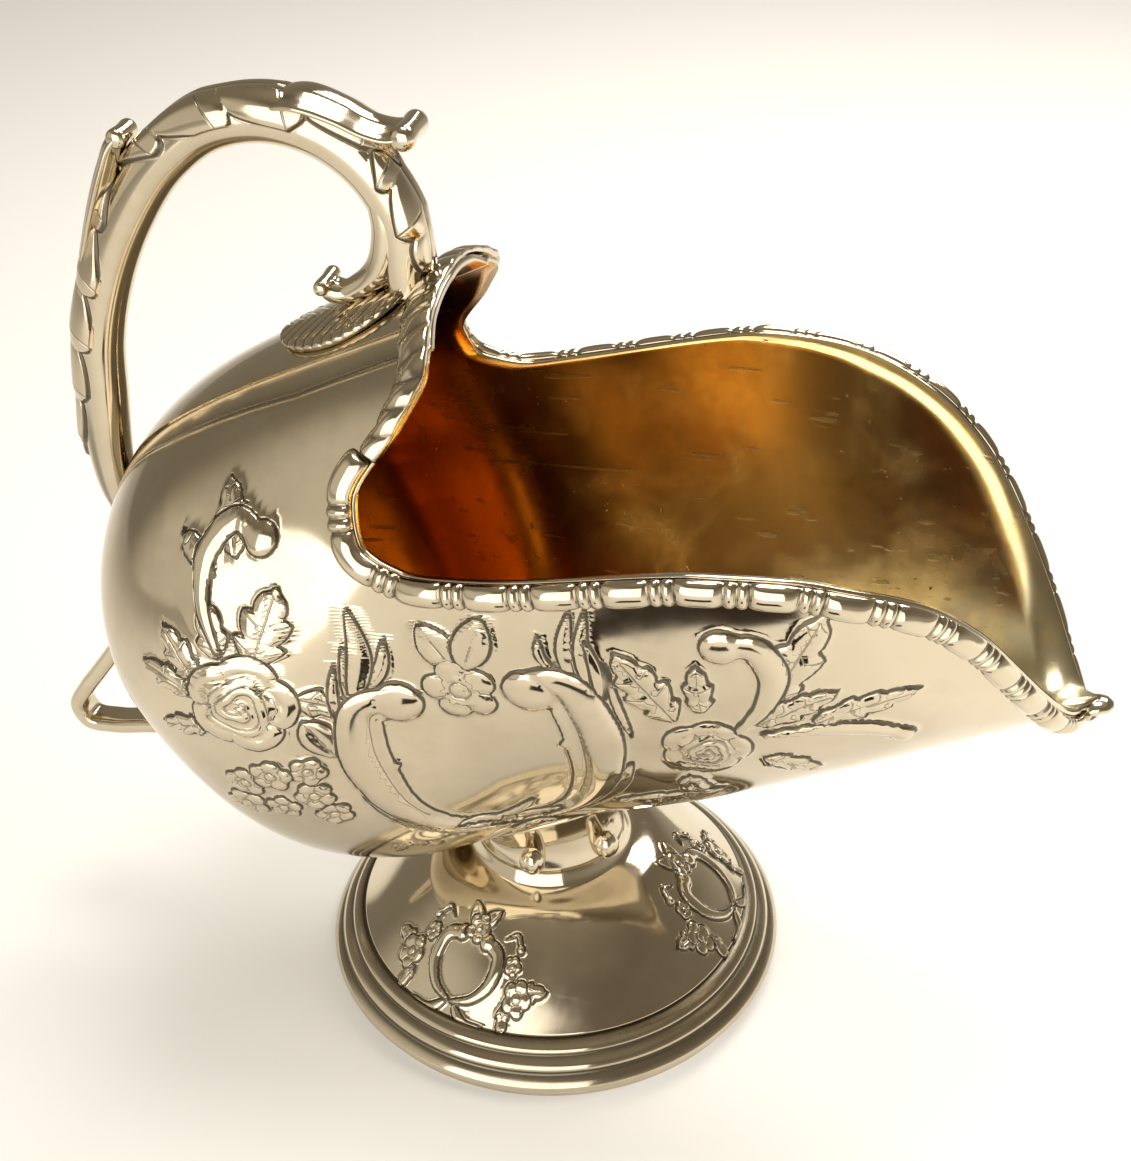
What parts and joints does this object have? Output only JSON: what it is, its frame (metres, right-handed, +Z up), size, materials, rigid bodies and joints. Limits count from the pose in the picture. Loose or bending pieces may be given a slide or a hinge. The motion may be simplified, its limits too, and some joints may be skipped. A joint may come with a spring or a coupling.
{
  "type": "sugar scuttle",
  "caption": "Hooded silver-plated scuttle for sugar, gilt inside, with a pointed lip, a cast scroll handle, a strap loop on its back and a round domed foot.",
  "frame": {"origin": "middle of the overall length and width, on the plane that the foot stands on", "axes": "+X towards the pouring lip, +Y to the left seen from the back, +Z up; the scuttle is the same on both sides of Y = 0"},
  "size_m": [0.175, 0.08, 0.1527],
  "materials": {
    "silver_plate": "polished and lightly toned silver plate, dark in the chased lines; the inside of the bowl is gilt"
  },
  "bodies": {
    "root": {"body_shell": "silver_plate", "mouth_border_near": "silver_plate", "mouth_border_far": "silver_plate", "hood_border": "silver_plate", "hood_leaf_plate": "silver_plate", "handle": "silver_plate", "back_loop": "silver_plate", "neck_collar": "silver_plate", "foot_dome": "silver_plate", "foot_reeded_edge": "silver_plate", "foot_ring": "silver_plate"}
  },
  "joints": []
}
